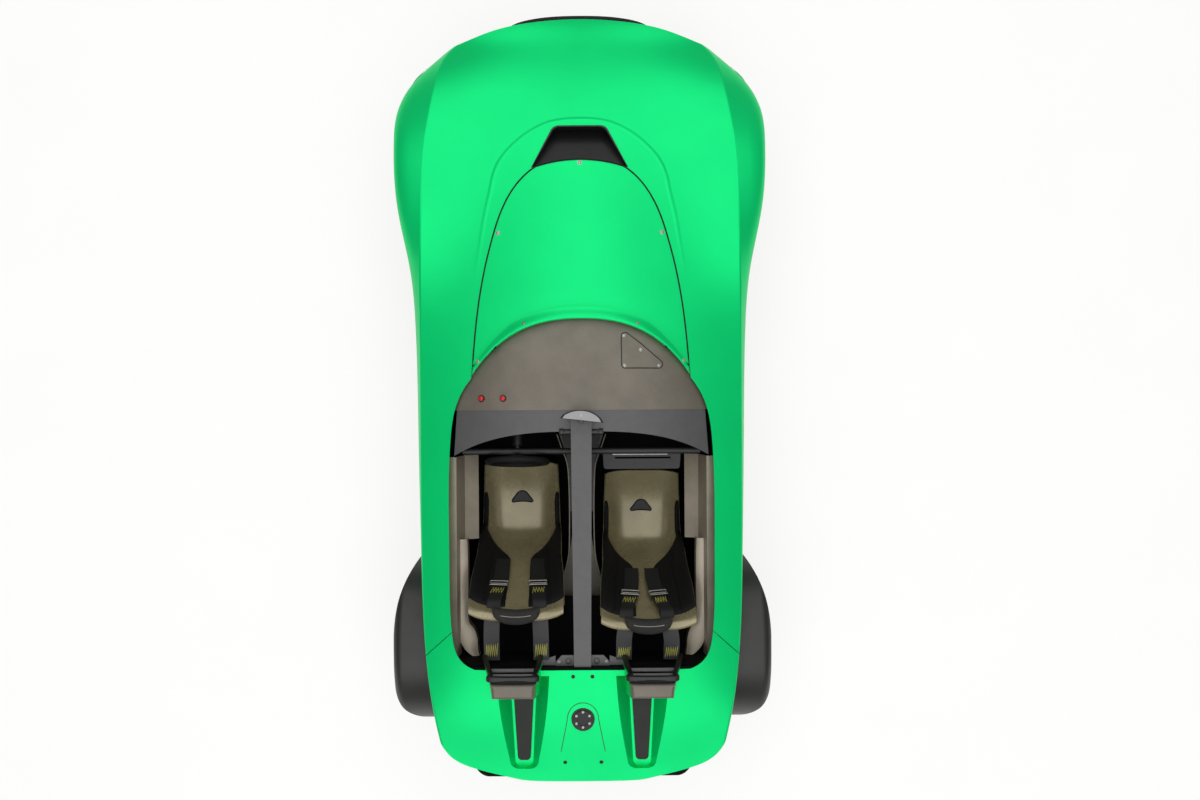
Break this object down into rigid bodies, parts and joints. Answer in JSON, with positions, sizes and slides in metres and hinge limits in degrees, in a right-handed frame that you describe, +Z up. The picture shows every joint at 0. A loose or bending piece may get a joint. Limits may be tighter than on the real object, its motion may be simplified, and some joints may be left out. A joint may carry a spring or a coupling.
{
  "type": "open two-seat sports car",
  "caption": "Low open two-seat roadster with satin green shells, dark rear mudguards, twin headrest hoods, and wheels that spin and steer.",
  "frame": {"origin": "on the ground, under the middle of the overall box", "axes": "+X forward to the nose, +Y to the car's left, +Z up"},
  "size_m": [3.6, 1.716, 1],
  "materials": {
    "body_green": "satin",
    "dark_carbon": "satin",
    "bronze_carbon": "satin",
    "olive_weave": "gloss",
    "grey_metal": "satin",
    "frame_paint": "satin",
    "pad_black": "matt",
    "belt_grey": "matt",
    "black_plastic": "matt",
    "tyre_rubber": "matt",
    "rim_paint": "satin",
    "bare_metal": "cast",
    "steel": "brushed",
    "lamp_clear": "gloss",
    "lamp_red": "gloss"
  },
  "bodies": {
    "chassis": {"front_clamshell": "body_green", "tail_clamshell": "body_green", "bonnet": "body_green", "bonnet_duct": "black_plastic", "nose_surround": "dark_carbon", "nose_grille": "black_plastic", "chin_splitter": "dark_carbon", "headlamps": "lamp_clear", "rear_mudguards": "dark_carbon", "side_skirts": "dark_carbon", "floor_tub": "frame_paint", "rear_bulkhead": "frame_paint", "rear_fascia": "dark_carbon", "tail_lamps": "lamp_red", "diffuser": "dark_carbon", "filler_cap": "black_plastic", "channel_strips": "dark_carbon", "dash_panel": "bronze_carbon", "dash_hatch": "bronze_carbon", "dash_beam": "grey_metal", "centre_spine": "grey_metal", "mirror": "grey_metal", "tunnel": "olive_weave", "sill_trims": "bronze_carbon", "driver_seat": "olive_weave", "passenger_seat": "olive_weave", "driver_pads": "pad_black", "passenger_pads": "pad_black", "driver_belts": "belt_grey", "passenger_belts": "belt_grey", "headrest_hoods": "body_green", "headrest_caps": "bronze_carbon", "cross_bar": "frame_paint", "headrest_grilles": "black_plastic", "engine": "bare_metal", "radiator": "bare_metal", "exhaust": "steel", "differential": "bare_metal", "front_frame": "frame_paint", "rear_frame": "frame_paint", "front_wishbones": "frame_paint", "rear_wishbones": "frame_paint", "rear_uprights": "bare_metal", "front_dampers": "steel", "rack_housing": "bare_metal", "steering_column": "frame_paint"},
    "left_knuckle": {"left_knuckle": "bare_metal"},
    "right_knuckle": {"right_knuckle": "bare_metal"},
    "rack": {"rack_bar": "steel"},
    "steering_wheel": {"steering_wheel": "pad_black"},
    "front_left_wheel": {"front_left_tyre": "tyre_rubber", "front_left_rim": "rim_paint"},
    "front_right_wheel": {"front_right_tyre": "tyre_rubber", "front_right_rim": "rim_paint"},
    "rear_left_wheel": {"rear_left_tyre": "tyre_rubber", "rear_left_rim": "rim_paint", "rear_left_driveshaft": "steel"},
    "rear_right_wheel": {"rear_right_tyre": "tyre_rubber", "rear_right_rim": "rim_paint", "rear_right_driveshaft": "steel"}
  },
  "joints": [
    {"name": "left_steer", "type": "hinge", "parent": "chassis", "child": "left_knuckle", "pos_m": [1.125, 0.65, 0.2785], "axis": [0, 0, 1], "range_deg": [-28, 28]},
    {"name": "right_steer", "type": "hinge", "parent": "chassis", "child": "right_knuckle", "pos_m": [1.125, -0.65, 0.2785], "axis": [0, 0, 1], "range_deg": [-28, 28]},
    {"name": "rack_slide", "type": "slide", "parent": "chassis", "child": "rack", "axis": [0, 1, 0], "range_m": [-0.0545, 0.0545]},
    {"name": "steering_wheel_turn", "type": "hinge", "parent": "chassis", "child": "steering_wheel", "pos_m": [-0.316, 0.288, 0.61], "axis": [-0.9903, 0, 0.1392], "range_deg": [-340, 340]},
    {"name": "front_left_spin", "type": "hinge", "parent": "left_knuckle", "child": "front_left_wheel", "pos_m": [1.125, 0.705, 0.2785], "axis": [0, 1, 0], "continuous": true},
    {"name": "front_right_spin", "type": "hinge", "parent": "right_knuckle", "child": "front_right_wheel", "pos_m": [1.125, -0.705, 0.2785], "axis": [0, 1, 0], "continuous": true},
    {"name": "rear_left_spin", "type": "hinge", "parent": "chassis", "child": "rear_left_wheel", "pos_m": [-1.15, 0.72, 0.2885], "axis": [0, 1, 0], "continuous": true},
    {"name": "rear_right_spin", "type": "hinge", "parent": "chassis", "child": "rear_right_wheel", "pos_m": [-1.15, -0.72, 0.2885], "axis": [0, 1, 0], "continuous": true}
  ],
  "couplings": [
    {"joint": "right_steer", "follows": "left_steer", "ratio": 1},
    {"joint": "rack_slide", "follows": "left_steer", "m_per_rad": 0.11},
    {"joint": "steering_wheel_turn", "follows": "left_steer", "ratio": 12}
  ]
}
